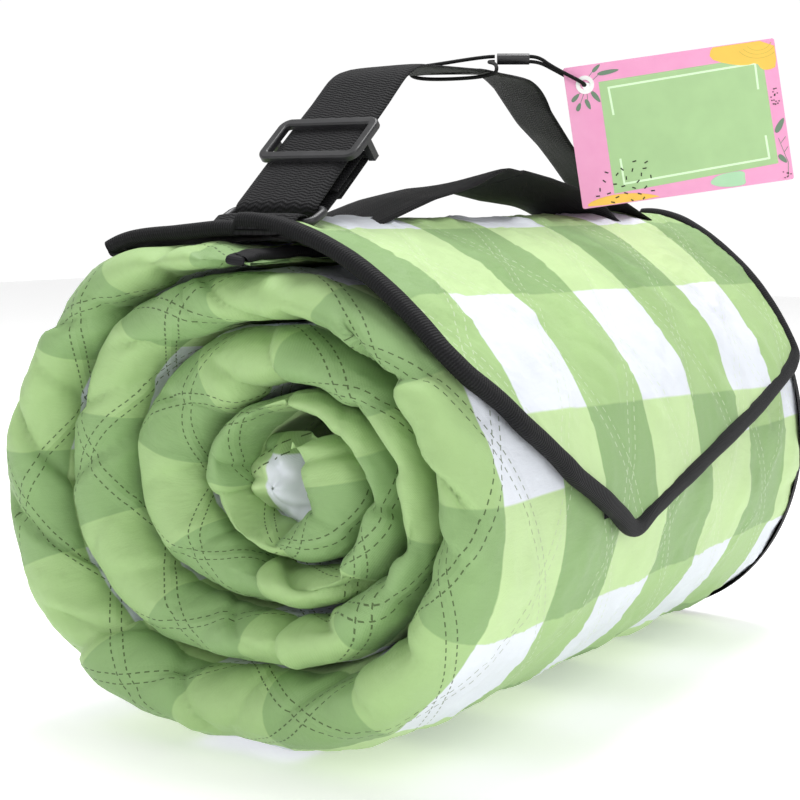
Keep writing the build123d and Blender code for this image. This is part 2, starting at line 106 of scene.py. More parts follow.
# ------------------------------------------------------------------ small node-building kit
class Nodes:
    def __init__(self, name):
        self.mat = bpy.data.materials.new(name)
        self.mat.use_nodes = True
        self.tree = self.mat.node_tree
        self.shader = self.tree.nodes["Principled BSDF"]

    def put(self, kind, **inputs):
        node = self.tree.nodes.new(kind)
        for key, value in inputs.items():
            self.feed(node.inputs[key] if not key.isdigit() else node.inputs[int(key)], value)
        return node

    def feed(self, socket, value):
        if isinstance(value, bpy.types.NodeSocket):
            self.tree.links.new(value, socket)
        elif isinstance(value, bpy.types.Node):
            self.tree.links.new(value.outputs[0], socket)
        else:
            socket.default_value = value

    def math(self, op, *values):
        node = self.tree.nodes.new("ShaderNodeMath")
        node.operation = op
        for i, value in enumerate(values):
            self.feed(node.inputs[i], value)
        return node.outputs[0]

    def mix(self, share, a, b):
        node = self.tree.nodes.new("ShaderNodeMix")
        node.data_type = "RGBA"
        self.feed(node.inputs["Factor"], share)
        self.feed(node.inputs[6], a)
        self.feed(node.inputs[7], b)
        return node.outputs[2]

    def ramp(self, value, low, high, a=0.0, b=1.0):
        node = self.tree.nodes.new("ShaderNodeMapRange")
        self.feed(node.inputs["Value"], value)
        for key, number in (("From Min", low), ("From Max", high), ("To Min", a), ("To Max", b)):
            node.inputs[key].default_value = number
        return node.outputs[0]

    def noise(self, scale, detail=3.0, vector=None, rough=0.55):
        node = self.put("ShaderNodeTexNoise", Scale=scale, Detail=detail, Roughness=rough)
        if vector is not None:
            self.feed(node.inputs["Vector"], vector)
        return node.outputs[0]

    def uv(self, name):
        node = self.tree.nodes.new("ShaderNodeUVMap")
        node.uv_map = name
        split = self.put("ShaderNodeSeparateXYZ", Vector=node.outputs[0])
        return node.outputs[0], split.outputs[0], split.outputs[1]

    def scaled(self, vector, scale):
        node = self.put("ShaderNodeMapping", Vector=vector)
        node.inputs["Scale"].default_value = scale
        return node.outputs[0]

    def bump(self, height, distance, strength=1.0, under=None):
        node = self.put("ShaderNodeBump", Strength=strength, Distance=distance, Height=height)
        if under is not None:
            self.feed(node.inputs["Normal"], under)
        return node.outputs[0]

    def finish(self, colour=None, rough=0.6, normal=None, sheen=0.0, specular=0.4, metal=0.0):
        s = self.shader.inputs
        if colour is not None:
            self.feed(s["Base Color"], colour)
        self.feed(s["Roughness"], rough)
        if normal is not None:
            self.feed(s["Normal"], normal)
        s["Sheen Weight"].default_value = sheen
        s["Sheen Roughness"].default_value = 0.4
        s["Specular IOR Level"].default_value = specular
        s["Metallic"].default_value = metal
        return self.mat


def srgb(r, g, b):
    def lin(c):
        c /= 255
        return c / 12.92 if c <= 0.04045 else ((c + 0.055) / 1.055) ** 2.4
    return (lin(r), lin(g), lin(b), 1.0)


# ------------------------------------------------------------------ materials
WHITE, LIGHT = srgb(219, 224, 232), srgb(184, 213, 148)
MID, DARK = srgb(157, 191, 122), srgb(132, 168, 104)


def stitch_lines(n, u, v):
    # dashes of both directions of the quilting, and how near the seam runs
    size = math.hypot(1 / QUILT_U, 1 / QUILT_V)
    dashes, seams = None, None
    for sign in (1, -1):
        across = n.math("ADD", n.math("DIVIDE", u, QUILT_U), n.math("DIVIDE", v, sign * QUILT_V))
        near = n.math("DIVIDE", n.math("ABSOLUTE",
                n.math("SUBTRACT", n.math("FRACT", n.math("ADD", across, 100.5)), 0.5)), size)
        row = n.math("ABSOLUTE", n.math("SUBTRACT", near, ROWS))
        along = n.math("DIVIDE", n.math("SUBTRACT", n.math("DIVIDE", u, sign * QUILT_V),
                n.math("DIVIDE", v, QUILT_U)), size)
        on = n.math("LESS_THAN", n.math("FRACT", n.math("ADD", n.math("DIVIDE", along, 3.7 * MM), 100)),
                0.56)
        dash = n.math("MULTIPLY", n.math("LESS_THAN", row, 0.3 * MM), on)
        seam = n.ramp(near, 5.0 * MM, 0.0)
        dashes = dash if dashes is None else n.math("MAXIMUM", dashes, dash)
        seams = seam if seams is None else n.math("MAXIMUM", seams, seam)
    return dashes, seams


def gingham(name):
    n = Nodes(name)
    vector, u, v = n.uv("sheet")
    def stripe(value):
        # 1 on every other stripe, with the short fade of woven threads at its edges
        at = n.math("FRACT", n.math("ADD", n.math("DIVIDE", value, 2 * CHECK), 100))
        return n.ramp(n.math("ABSOLUTE", n.math("SUBTRACT", at, 0.5)), 0.246, 0.254)
    row, column = stripe(u), stripe(v)
    pale = n.mix(column, WHITE, MID)
    deep = n.mix(column, LIGHT, DARK)
    cloth = n.mix(row, pale, deep)
    mottle = n.noise(55, 4, n.scaled(vector, (1, 1, 1)))
    cloth_hsv = n.put("ShaderNodeHueSaturation", Color=cloth, Hue=0.5, Saturation=0.92)
    n.feed(cloth_hsv.inputs["Value"], n.ramp(mottle, 0.3, 0.7, 0.96, 1.04))
    dashes, seams = stitch_lines(n, u, v)
    # painted shade: where the fold weight is high, on the near nose, the stitch dashes turn from pale
    # thread to dark olive and show stronger, standing in for the shade in the stitch holes
    attribute = n.tree.nodes.new("ShaderNodeAttribute")
    attribute.attribute_name = "fold"
    thread = n.mix(attribute.outputs["Fac"], srgb(206, 220, 190), srgb(66, 84, 44))
    colour = n.mix(n.math("MULTIPLY", dashes,
            n.math("ADD", n.math("MULTIPLY", attribute.outputs["Fac"], 0.35), 0.5)), cloth_hsv.outputs[0],
                    thread)
    weave = n.math("MULTIPLY", n.math("SINE", n.math("MULTIPLY", u, 2 * math.pi / (0.7 * MM))),
                   n.math("SINE", n.math("MULTIPLY", v, 2 * math.pi / (0.7 * MM))))
    crease = n.noise(1, 5, n.scaled(vector, (260, 90, 1)), 0.6)
    soft = n.noise(34, 3, vector, 0.5)
    normal = n.bump(crease, 0.9 * MM, 0.55)
    normal = n.bump(soft, 2.2 * MM, 0.5, normal)
    normal = n.bump(n.math("SUBTRACT", n.math("MULTIPLY", dashes, 0.8), seams), 0.8 * MM, 0.7, normal)
    normal = n.bump(weave, 0.06 * MM, 0.6, normal)
    return n.finish(colour, n.ramp(mottle, 0.3, 0.7, 0.5, 0.62), normal, sheen=0.05, specular=0.3)


def tape(name, base, pitch, strength=0.5, sheen=0.2, slant=0.0):
    # ribbed woven tape or webbing: u runs along it, v across it
    n = Nodes(name)
    vector, u, v = n.uv("sheet")
    lean = n.math("ADD", u, n.math("MULTIPLY",
            n.math("ABSOLUTE", n.math("SUBTRACT", n.math("FRACT", n.math("DIVIDE", v, 6 * MM)), 0.5)),
                    slant))
    rib = n.math("SINE", n.math("MULTIPLY", lean, 2 * math.pi / pitch))
    warp = n.math("SINE", n.math("MULTIPLY", v, 2 * math.pi / (1.3 * MM)))
    fuzz = n.noise(1400, 2, vector)
    height = n.math("ADD", n.math("MULTIPLY", rib, n.math("ADD", n.math("MULTIPLY", warp, 0.35), 0.65)),
            n.math("MULTIPLY", fuzz, 0.8))
    # colour follows the rib height: painted shade in the grooves between ribs, painted highlight on the rib
    # crests
    colour = n.mix(n.ramp(height, -0.4, 1.5), [c * 0.4 for c in base[:3]] + [1],
            [min(1, c * 1.5) for c in base[:3]] + [1])
    return n.finish(colour, 0.7, n.bump(height, 0.28 * MM, strength), sheen=sheen, specular=0.18)


def plain_cloth(name, base, scale=900, strength=0.35):
    n = Nodes(name)
    coord = n.tree.nodes.new("ShaderNodeTexCoord").outputs["Object"]
    fine = n.noise(scale, 2, coord)
    broad = n.noise(40, 3, coord)
    colour = n.mix(n.ramp(broad, 0.3, 0.7), [c * 0.85 for c in base[:3]] + [1],
            [min(1, c * 1.2) for c in base[:3]] + [1])
    return n.finish(colour, 0.75, n.bump(fine, 0.2 * MM, strength), sheen=0.03, specular=0.18)


def moulded(name, base, rough=0.38, metal=0.0):
    n = Nodes(name)
    coord = n.tree.nodes.new("ShaderNodeTexCoord").outputs["Object"]
    grain = n.noise(1600, 2, coord)
    wear = n.noise(120, 3, coord)
    colour = n.mix(n.ramp(wear, 0.35, 0.75), base, [min(1, c * 1.5) for c in base[:3]] + [1])
    return n.finish(colour, n.ramp(wear, 0.3, 0.7, rough - 0.06, rough + 0.08),
            n.bump(grain, 0.03 * MM, 0.4), specular=0.5, metal=metal)


# ------------------------------------------------------------------ mesh helpers
def mesh(name, points, faces, uv=None, smooth=True, material=None):
    me = bpy.data.meshes.new(name)
    me.from_pydata([tuple(p) for p in points], [], [tuple(int(i) for i in f) for f in faces])
    if uv is not None:
        layer = me.uv_layers.new(name="sheet")
        loops = np.zeros(len(me.loops), np.int32)
        me.loops.foreach_get("vertex_index", loops)
        layer.data.foreach_set("uv", np.asarray(uv, np.float32)[loops].ravel())
    me.polygons.foreach_set("use_smooth", [smooth] * len(me.polygons))
    if material is not None:
        me.materials.append(material)
    me.update()
    ob = bpy.data.objects.new(name, me)
    SCENE.collection.objects.link(ob)
    return ob


def grid_faces(rows, cols, wrap=False, flip=False, start=0):
    i, j = np.meshgrid(np.arange(rows - 1), np.arange(cols if wrap else cols - 1), indexing="ij")
    a, b = i * cols + j, i * cols + (j + 1) % cols
    quads = np.stack([a, b, b + cols, a + cols], -1).reshape(-1, 4) + start
    return quads[:, ::-1] if flip else quads


def float_attribute(ob, name, values):
    layer = ob.data.attributes.new(name, "FLOAT", "POINT")
    layer.data.foreach_set("value", np.asarray(values, np.float32).ravel())


def catmull(knots, values, at):
    # smooth curve through evenly spaced values
    knots, values = np.asarray(knots, float), np.asarray(values, float)
    step = knots[1] - knots[0]
    t = (np.asarray(at, float) - knots[0]) / step
    i = np.clip(np.floor(t).astype(int), 1, len(knots) - 3)
    f = t - i
    p0, p1, p2, p3 = values[i - 1], values[i], values[i + 1], values[i + 2]
    return 0.5 * (2 * p1 + (p2 - p0) * f + (2 * p0 - 5 * p1 + 4 * p2 - p3) * f**2
            + (3 * p1 - p0 - 3 * p2 + p3) * f**3)


def value_noise(x, y, seed):
    # smooth repeatable noise in -1..1
    table = np.random.RandomState(seed).uniform(-1, 1, (64, 64))
    xi, yi = np.floor(x).astype(int), np.floor(y).astype(int)
    fx, fy = x - xi, y - yi
    fx, fy = fx * fx * (3 - 2 * fx), fy * fy * (3 - 2 * fy)
    a, b = table[xi % 64, yi % 64], table[(xi + 1) % 64, yi % 64]
    c, d = table[xi % 64, (yi + 1) % 64], table[(xi + 1) % 64, (yi + 1) % 64]
    return (a * (1 - fx) + b * fx) * (1 - fy) + (c * (1 - fx) + d * fx) * fy


# ------------------------------------------------------------------ quilting relief
def quilt_patch():
    # a patch of cloth sewn down along the quilting and puffed up by cloth simulation
    step = 2.0 * MM
    nu, nv = int(round(2 * QUILT_U / step)) + 1, int(round(3 * QUILT_V / step)) + 1
    u, v = np.meshgrid(np.linspace(0, 2 * QUILT_U, nu), np.linspace(0, 3 * QUILT_V, nv), indexing="ij")
    size = math.hypot(1 / QUILT_U, 1 / QUILT_V)
    near = np.full(u.shape, 1.0)
    for sign in (1, -1):
        a = u / QUILT_U + sign * v / QUILT_V
        near = np.minimum(near, np.abs(a - np.round(a)) / size)
    rng = np.random.RandomState(7)
    rough = rng.normal(0, 0.25 * MM, u.shape)
    points = np.stack([u, v, np.where(near > 3 * MM, np.abs(rough), 0)], -1).reshape(-1, 3)
    ob = mesh("patch", points, grid_faces(nu, nv))
    group = ob.vertex_groups.new(name="sewn")
    group.add([int(i) for i in np.nonzero((near < 2.4 * MM).ravel())[0]], 1.0, "REPLACE")
    edge = np.zeros(u.shape, bool)
    edge[0], edge[-1], edge[:, 0], edge[:, -1] = True, True, True, True
    cloth = ob.modifiers.new("cloth", "CLOTH")
    s = cloth.settings
    s.quality, s.mass, s.air_damping = 6, 0.2, 3
    s.tension_stiffness = s.compression_stiffness = 20
    s.shear_stiffness, s.bending_stiffness = 8, 0.12
    s.shrink_min = -0.085
    s.vertex_group_mass = "sewn"
    s.effector_weights.gravity = 0
    s.use_pressure, s.uniform_pressure_force = True, 1.6
    cloth.collision_settings.use_collision = False
    SCENE.frame_start, SCENE.frame_end = 1, 30
    cloth.point_cache.frame_start, cloth.point_cache.frame_end = 1, 30
    for f in range(1, 27):
        SCENE.frame_set(f)
    shown = ob.evaluated_get(bpy.context.evaluated_depsgraph_get())
    co = np.zeros(nu * nv * 3, np.float32)
    shown.data.vertices.foreach_get("co", co)
    z = co.reshape(nu, nv, 3)[:, :, 2].astype(float)
    SCENE.frame_set(1)
    bpy.data.objects.remove(ob)
    if np.median(z[near > 12 * MM]) < 0:
        z = -z
    z = np.clip(z, 0, None)
    top = np.percentile(z, 97)
    print("quilt relief mm", round(top * 1000, 2))
    return np.clip(z / max(top, 1e-6), 0, 1.15)


def relief(u, v):
    # height of the quilting in 0..1, the patch mirrored over and over
    nu, nv = PATCH.shape
    def fold(value, period, count):
        t = np.abs(((value / period) + 1) % 2 - 1) * (count - 1)
        i = np.clip(np.floor(t).astype(int), 0, count - 2)
        return i, t - i
    i, fi = fold(u, 2 * QUILT_U, nu)
    j, fj = fold(v, 3 * QUILT_V, nv)
    return ((PATCH[i, j] * (1 - fi) + PATCH[i + 1, j] * fi) * (1 - fj)
            + (PATCH[i, j + 1] * (1 - fi) + PATCH[i + 1, j + 1] * fi) * fj)


# ------------------------------------------------------------------ the roll
TURNS = np.arange(-180, 1981, 90)
REACH = MM * np.array([96, 108, 100, 123.2, 91.6, 114.2, 89, 92.5, 61.2, 83.7, 62.5, 63, 43.3, 64.5, 35,
        26, 22, 49, 24, 8, 12, 18,
                       14, 10, 10])
CENTRE_Y, CENTRE_Z = -4.5 * MM, 92 * MM
NEAR_X, FAR_X = -183 * MM, 176 * MM
END_PHI, CORE_PHI = -13.0, 1395.0


def spiral(phi):
    # reach of the winding, with the soft hump behind the straps on the outer turn
    return catmull(TURNS, REACH, phi) + 5.5 * MM * np.exp(-((np.asarray(phi, float) - 32.0) / 15.0) ** 2)


def drift(phi):
    # the middle of the winding wanders up and towards -Y on the inner turns
    share = np.clip((np.asarray(phi, float) - 200.0) / 600.0, 0, 1)
    return CENTRE_Y - 9.5 * MM * share, CENTRE_Z + 11 * MM * share


def taper(x):
    return 1.0 + (0.762 - 1.0) * np.clip((x - NEAR_X) / (FAR_X - NEAR_X), -0.1, 1.1)


def place(x, phi, radius):
    # a point of the roll: angle from the top towards +Y, in degrees
    a = np.radians(phi)
    y = CENTRE_Y + radius * np.sin(a) * taper(x)
    z = CENTRE_Z + radius * np.cos(a)
    return np.stack([x + 0 * y, y, z], -1)


def normals(p):
    du = np.gradient(p, axis=0)
    dv = np.gradient(p, axis=1)
    n = np.cross(du, dv)
    return n / np.maximum(np.linalg.norm(n, axis=-1, keepdims=True), 1e-9)


# how far each turn's folded end stays back from the near end, and how deep its round nose is
KNOTS = np.arange(-90, 1531, 90)
SET_BACK = MM * np.array([19, 15, 21, 23, 23, 18, 23, 23, 25, 24, 25, 26, 27, 28, 27, 29, 30, 32, 32])
NOSE = MM * np.array([28, 24, 26, 42, 32, 24, 25, 25, 25, 23, 23, 22, 21, 20, 19, 18, 18, 18, 18])
FAR_NOSE = 5 * MM
FAR_TIP = 1.5 * MM


def ply_section(nose, straight, far):
    # round one ply: far end, outside, near nose, inside, far end; entries are (side, share of
    # straight, nose angle, far angle)
    outer = [("out", 1.0, 90.0, f) for f in np.linspace(90, 0, far)[:-1]] + [("out", s, 90.0,
            0.0) for s in straight[0]]
    outer += [("out", 0.0, t, 0.0) for t in np.linspace(90, 0, nose[0])[:-1]]
    inner = [("in", 0.0, t, 0.0) for t in np.linspace(0, 90, nose[1])] + [("in", s, 90.0,
            0.0) for s in straight[1]]
    return outer + inner + [("in", 1.0, 90.0, f) for f in np.linspace(0, 90, far)[1:]]


def creases(u, v, span, seed):
    # sharp slanting folds where the cloth tucks in, each with a puffed lip beside it
    rng = np.random.RandomState(seed)
    out = np.zeros_like(u)
    at = span[0]
    while at < span[1]:
        at += rng.uniform(16, 46) * MM
        slant = rng.uniform(-1.1, 1.1)
        deep = rng.uniform(1.2, 4.4) * MM
        width = rng.uniform(1.5, 4.0) * MM
        reach = rng.uniform(8, 34) * MM
        d = u - at - slant * v
        fade = np.clip((reach - v) / (14 * MM), 0, 1) ** 1.5 * np.clip((v + 40 * MM) / (12 * MM), 0, 1)
        out -= fade * deep * np.exp(-np.abs(d) / width)
        out += fade * deep * 0.55 * np.tanh(d / width) * np.exp(
                -np.abs(d) / (16 * MM)) * rng.choice([-1, 1])
    return out


def winding(phi, reach):
    # points of the cross-section at the near end
    turn = np.radians(phi)
    middle_y, middle_z = drift(phi)
    return np.stack([middle_y + reach * np.sin(turn), middle_z + reach * np.cos(turn)], -1)


def roll_section(phi, section, swell=0.0):
    # the ply's points, before the quilting and the gathers, and the middle of its thickness
    outer, inner = winding(phi, spiral(phi)), winding(phi + 360, spiral(phi + 360) + 1.2 * MM)
    half = np.minimum(np.clip((phi - END_PHI) / 14, 0, 1) ** 0.5,
            np.clip((CORE_PHI - phi) / 16, 0, 1) ** 0.5)[:, None]
    core = inner + 0.42 * (outer - inner)
    span = np.linalg.norm(outer - inner, axis=1, keepdims=True)
    grow = 1 + 2 * swell / span
    outer, inner = core + (outer - core) * half * grow, core + (inner - core) * half * grow
    tip = NEAR_X + catmull(KNOTS, SET_BACK, phi) + 1.2 * MM * np.sin(phi / 23.0)
    nose = catmull(KNOTS, NOSE, phi)
    cols, mids = [], []
    for side, s, t, f in section:
        tr, fr = math.radians(t), math.radians(f)
        d = nose if side == "out" else 0.7 * nose
        edge = outer if side == "out" else inner
        at = core + (edge - core) * math.sin(tr) ** 0.92 * math.cos(fr)
        x = tip + d * (1 - math.cos(tr) ** 0.95)
        x = x + s * (FAR_X - FAR_TIP - FAR_NOSE - x) + (FAR_NOSE + swell) * math.sin(fr)
        for out, q in ((cols, at), (mids, core)):
            out.append(np.stack([x, CENTRE_Y + (q[:, 0] - CENTRE_Y) * taper(x), q[:, 1]], -1))
    return np.stack(cols, 1), np.stack(mids, 1)


def roll_cloth(name, phi0, phi1, count, section, material, puff, seed):
    phi = np.linspace(phi0, phi1, count)
    p, middle = roll_section(phi, section)
    arc = np.concatenate([[0],
            np.cumsum(0.5 * (spiral(phi)[1:] + spiral(phi)[:-1]) * np.radians(np.diff(phi)))])
    uu = (arc_at(phi0) + arc * 0.94)[:, None] + 0 * p[:, :, 0]
    step = np.linalg.norm(np.diff(p, axis=1), axis=2)
    run = np.concatenate([np.zeros((len(phi), 1)), np.cumsum(step, 1)], 1)
    tip = [k for k, (side, s, t, f) in enumerate(section) if side == "in" and t == 0][0]
    vv = run[:, tip:tip + 1] - run
    n = normals(p)
    if np.sum((p - middle) * n) < 0:
        n = -n
    fold = np.clip(1.5 - vv / (34 * MM), 0, 1) * np.clip(1.5 + vv / (30 * MM), 0, 1)
    far = np.array([math.cos(math.radians(f)) for _, _, _, f in section])[None, :]
    height = (relief(uu + 0.013, vv + 0.02) - 0.55) * puff * (1 - 0.35 * fold)
    height += creases(uu, vv, (uu.min(), uu.max()), seed) * fold
    height += fold * 1.5 * MM * value_noise(uu / 0.036, vv / 0.03, 11)
    height += fold * 0.7 * MM * value_noise(uu / 0.012, vv / 0.016, 12)
    height += 0.5 * MM * value_noise(uu / 0.02, vv / 0.03, 13)
    p = p + n * (height * far)[:, :, None]
    p[:, :, 2] = np.maximum(p[:, :, 2], 0.3 * MM)
    rows, cols = p.shape[:2]
    uv = roll_uv(np.stack([uu, vv], -1))
    ob = mesh(name, p.reshape(-1, 3), grid_faces(rows, cols), uv.reshape(-1, 2), True, material)
    # the fold weight, 1 near the nose: where it is high the stitch dashes carry painted shade of the stitch
    # holes
    float_attribute(ob, "fold", np.clip(1.4 - np.abs(vv) / (60 * MM), 0, 1))
    return ob, p, tip


def tube(name, line, up, wide, high, material, count=18, seed=31):
    # folded tape along a line: a flattened tube
    along = np.gradient(line, axis=0)
    along /= np.linalg.norm(along, axis=1, keepdims=True)
    side = np.cross(along, up)
    side /= np.linalg.norm(side, axis=1, keepdims=True)
    t = np.linspace(0, 2 * math.pi, count, endpoint=False)
    ring_s = np.sign(np.cos(t)) * np.abs(np.cos(t)) ** 0.7 * wide
    ring_u = np.sign(np.sin(t)) * np.abs(np.sin(t)) ** 0.8 * high
    run = np.concatenate([[0], np.cumsum(np.linalg.norm(np.diff(line, axis=0), axis=1))])
    vary = 1 + 0.05 * value_noise(run / 0.01, run * 0, seed)
    lift = 0.4 * MM * value_noise(run / 0.03, run * 0 + 4, seed + 1)
    rings = (line[:, None, :] + side[:, None, :] * (ring_s[None, :, None] * vary[:, None, None])
             + up[:, None, :] * (ring_u[None, :, None] * vary[:, None, None] + lift[:, None, None]))
    around = np.cumsum(np.concatenate([[0], np.hypot(np.diff(ring_s), np.diff(ring_u))]))
    uv = np.stack([run[:, None] + 0 * around[None, :], 0 * run[:, None] + around[None, :]], -1)
    faces = [tuple(f) for f in grid_faces(len(line), count, wrap=True)]
    faces += [tuple(range(count)), tuple((len(line) - 1) * count + i for i in reversed(range(count)))]
    return mesh(name, rings.reshape(-1, 3), faces, uv.reshape(-1, 2), True, material)


def arc_at(phi):
    steps = np.linspace(-40, phi, 400)
    r = spiral(steps)
    return float(np.sum(0.5 * (r[1:] + r[:-1]) * np.radians(np.diff(steps)))) * 0.94


ROLL_ROW, ROLL_COLUMN = 48.4 * MM, 0.0 * MM


def roll_uv(uv):
    out = uv.copy()
    out[..., 0] += ROLL_ROW
    out[..., 1] += ROLL_COLUMN
    return out


# ------------------------------------------------------------------ flap
FLAP_NEAR, FLAP_FAR = -148 * MM, 169 * MM
BACK_PHI = 33.0
EDGE_X = np.array([-152, -148, -143, -128, -122, -92, -57, -47, -42, -37, -32, -24, 3.5, 50.5, 105.5,
        155.5, 169, 174]) * MM
EDGE_PHI = np.array([-50, -54, -59.7, -66.5, -70, -81.2, -90.4, -93.4, -94.2, -94, -93, -91.6, -88.7,
        -83.6, -78, -71.6, -68.5, -67])
FLAP_LIFT = 1.6 * MM
FLAP_THICK = 4.6 * MM


def flap_radius(phi):
    # underside of the flap above the roll
    under = np.where(phi >= 0, spiral(phi), spiral(phi + 360))
    step = (spiral(np.array([0.0])) - spiral(np.array([360.0])))[0]
    bridge = (step + 2.6 * MM) * np.exp(-((np.minimum(phi, 0) + 0.0) / 30.0) ** 2)
    middle_y, middle_z = drift(phi + 360)
    turn = np.radians(phi)
    under = under + np.where(phi >= 0, 0,
            (middle_y - CENTRE_Y) * np.sin(turn) + (middle_z - CENTRE_Z) * np.cos(turn))
    return under + FLAP_LIFT + np.where(phi >= 0, 2.6 * MM * np.exp(-(phi / 12.0) ** 2), bridge)


def flap_point(x, phi, rise):
    return place(x, phi, flap_radius(phi) + rise)


def flap_sheet():
    nx, ns = 150, 150
    x = np.linspace(FLAP_NEAR + 2 * MM, FLAP_FAR - 2 * MM, nx)
    edge = np.interp(x, EDGE_X, EDGE_PHI)
    s = np.linspace(0, 1, ns)
    phi = BACK_PHI + (edge[:, None] + 1.0 - BACK_PHI) * s[None, :]
    xx = x[:, None] + 0 * phi
    base = flap_point(xx, phi, 0)
    n = normals(base)
    centre = np.stack([xx, 0 * xx + CENTRE_Y, 0 * xx + CENTRE_Z], -1)
    if np.sum((base - centre) * n) < 0:
        n = -n
    arc = np.radians(phi) * 107 * MM * (0.5 + 0.5 * taper(xx))
    uv = np.stack([arc, xx], -1)
    rim = np.clip(np.minimum(np.minimum(xx - FLAP_NEAR, FLAP_FAR - xx) / (8 * MM),
            (phi - edge[:, None]) / 5.0), 0, 1)
    rim = np.minimum(rim, np.clip((BACK_PHI - phi) / 5.0, 0, 1))
    height = FLAP_THICK * 0.62 + relief(arc + 0.02, xx + 0.011) * 1.9 * MM * (0.25 + 0.75 * rim)
    height += 0.8 * MM * value_noise(arc / 0.04, xx / 0.05, 21) * rim
    height += 0.35 * MM * value_noise(arc / 0.012, xx / 0.02, 22) * rim
    top = base + n * height[:, :, None]
    low = base + n * (0.4 * MM)
    return xx, phi, edge, top, low, uv


FLAP_ROW, FLAP_COLUMN = 52.8 * MM, 46.4 * MM


def build_flap(face_mat, lining_mat, tape_mat):
    xx, phi, edge, top, low, uv = flap_sheet()
    nx, ns = xx.shape
    uv = uv + np.array([FLAP_ROW, FLAP_COLUMN])
    face = mesh("flap_quilt", top.reshape(-1, 3), grid_faces(nx, ns), uv.reshape(-1, 2), True, face_mat)
    lining = mesh("flap_lining_cloth", low.reshape(-1, 3), grid_faces(nx, ns, flip=True),
            uv.reshape(-1, 2), True, lining_mat)
    float_attribute(face, "fold", np.zeros(nx * ns))
    # binding: a tube of folded tape round the edge
    near = [(FLAP_NEAR, p) for p in np.linspace(BACK_PHI, -50, 40)]
    point = [(a, b) for a, b in zip(EDGE_X[1:-1], EDGE_PHI[1:-1])]
    far = [(FLAP_FAR, p) for p in np.linspace(-66, BACK_PHI, 46)]
    back = [(q, BACK_PHI) for q in np.linspace(FLAP_FAR, FLAP_NEAR, 60)[1:]]
    path = np.array(near + point + far + back)
    base = flap_point(path[:, 0], path[:, 1], FLAP_THICK * 0.5)
    # resample evenly and soften the corners
    seg = np.linalg.norm(np.diff(base, axis=0), axis=1)
    run = np.concatenate([[0], np.cumsum(seg)])
    even = np.arange(0, run[-1], 2.0 * MM)
    line = np.stack([np.interp(even, run, path[:, 0]), np.interp(even, run, path[:, 1])], -1)
    for _ in range(3):
        line[1:-1] = 0.25 * line[:-2] + 0.5 * line[1:-1] + 0.25 * line[2:]
    centre = flap_point(line[:, 0], line[:, 1], FLAP_THICK * 0.5)
    up = flap_point(line[:, 0], line[:, 1], FLAP_THICK * 0.5 + 5 * MM) - centre
    up /= np.linalg.norm(up, axis=1, keepdims=True)
    return face, lining, tube("flap_edge_tape", centre, up, 3.7 * MM, 3.0 * MM, tape_mat, 20)


def pile_patch(name, x0, x1, phi0, phi1, low, high, material, seed):
    # one half of the hook-and-loop fastener, a thin pad that follows the roll's curve
    nx, ns = 44, 26
    x, phi = np.meshgrid(np.linspace(x0, x1, nx), np.linspace(phi0, phi1, ns), indexing="ij")
    fuzz = 0.12 * MM * value_noise(x / 0.0016, phi / 0.9, seed)
    edge = np.minimum(np.minimum(np.arange(nx), np.arange(nx)[::-1])[:, None],
            np.minimum(np.arange(ns), np.arange(ns)[::-1])[None, :])
    top = flap_point(x, phi, low - FLAP_LIFT + (high - low) * np.clip(edge / 2.0, 0, 1) ** 0.5 + fuzz)
    under = flap_point(x, phi, low - FLAP_LIFT + 0 * x)
    faces = list(grid_faces(nx, ns)) + list(grid_faces(nx, ns, flip=True, start=nx * ns))
    return mesh(name, np.concatenate([top.reshape(-1, 3), under.reshape(-1, 3)]), faces, None, True,
            material)


def core_cloth(material):
    # the crumpled first fold of the blanket, deep in the middle of the roll
    turns, spokes = 26, 72
    share, turn = np.meshgrid(np.linspace(0.02, 1, turns),
            np.linspace(0, 2 * math.pi, spokes, endpoint=False), indexing="ij")
    middle_y, middle_z = drift(1200.0)
    y, z = 20 * MM * share * np.cos(turn), 20 * MM * share * np.sin(turn)
    x = -138 * MM + 14 * MM * share ** 2 + 5 * MM * value_noise(y / 0.012, z / 0.012, 41)
    x = x - 5 * MM * np.abs(np.sin(2.5 * turn + 5 * share)) * share + 1.5 * MM * value_noise(y / 0.004,
            z / 0.005, 42)
    points = np.stack([x, middle_y + y, middle_z + z], -1).reshape(-1, 3)
    uv = np.stack([y + 0.07, z + 0.06], -1).reshape(-1, 2)
    faces = [tuple(f) for f in grid_faces(turns, spokes, wrap=True)] + [tuple(range(spokes))]
    ob = mesh("roll_core_cloth", points, faces, uv, True, material)
    # fold weight 1 all over, so the stitch dashes here are drawn dark olive as painted shade
    float_attribute(ob, "fold", np.ones(len(points)))
    return ob


# ------------------------------------------------------------------ webbing
def rounded(points, radii, step=1.5 * MM):
    # a path of (x, z) points with its corners rounded, in metres
    points = [np.array(p, float) * MM for p in points]
    out = [points[0]]
    for i in range(1, len(points) - 1):
        a, b, c = points[i - 1], points[i], points[i + 1]
        r = radii[i - 1] * MM if np.ndim(radii) else radii * MM
        d0, d1 = (a - b) / np.linalg.norm(a - b), (c - b) / np.linalg.norm(c - b)
        angle = math.acos(max(-1, min(1, float(d0 @ d1))))
        back = min(r / math.tan(angle / 2), 0.48 * np.linalg.norm(a - b), 0.48 * np.linalg.norm(c - b))
        p0, p1 = b + d0 * back, b + d1 * back
        for t in np.linspace(0, 1, 14):
            out.append((1 - t) ** 2 * p0 + 2 * t * (1 - t) * b + t * t * p1)
    out.append(points[-1])
    out = np.array(out)
    run = np.concatenate([[0], np.cumsum(np.linalg.norm(np.diff(out, axis=0), axis=1))])
    even = np.linspace(0, run[-1], max(6, int(run[-1] / step)))
    return np.stack([np.interp(even, run, out[:, 0]), np.interp(even, run, out[:, 1])], -1)


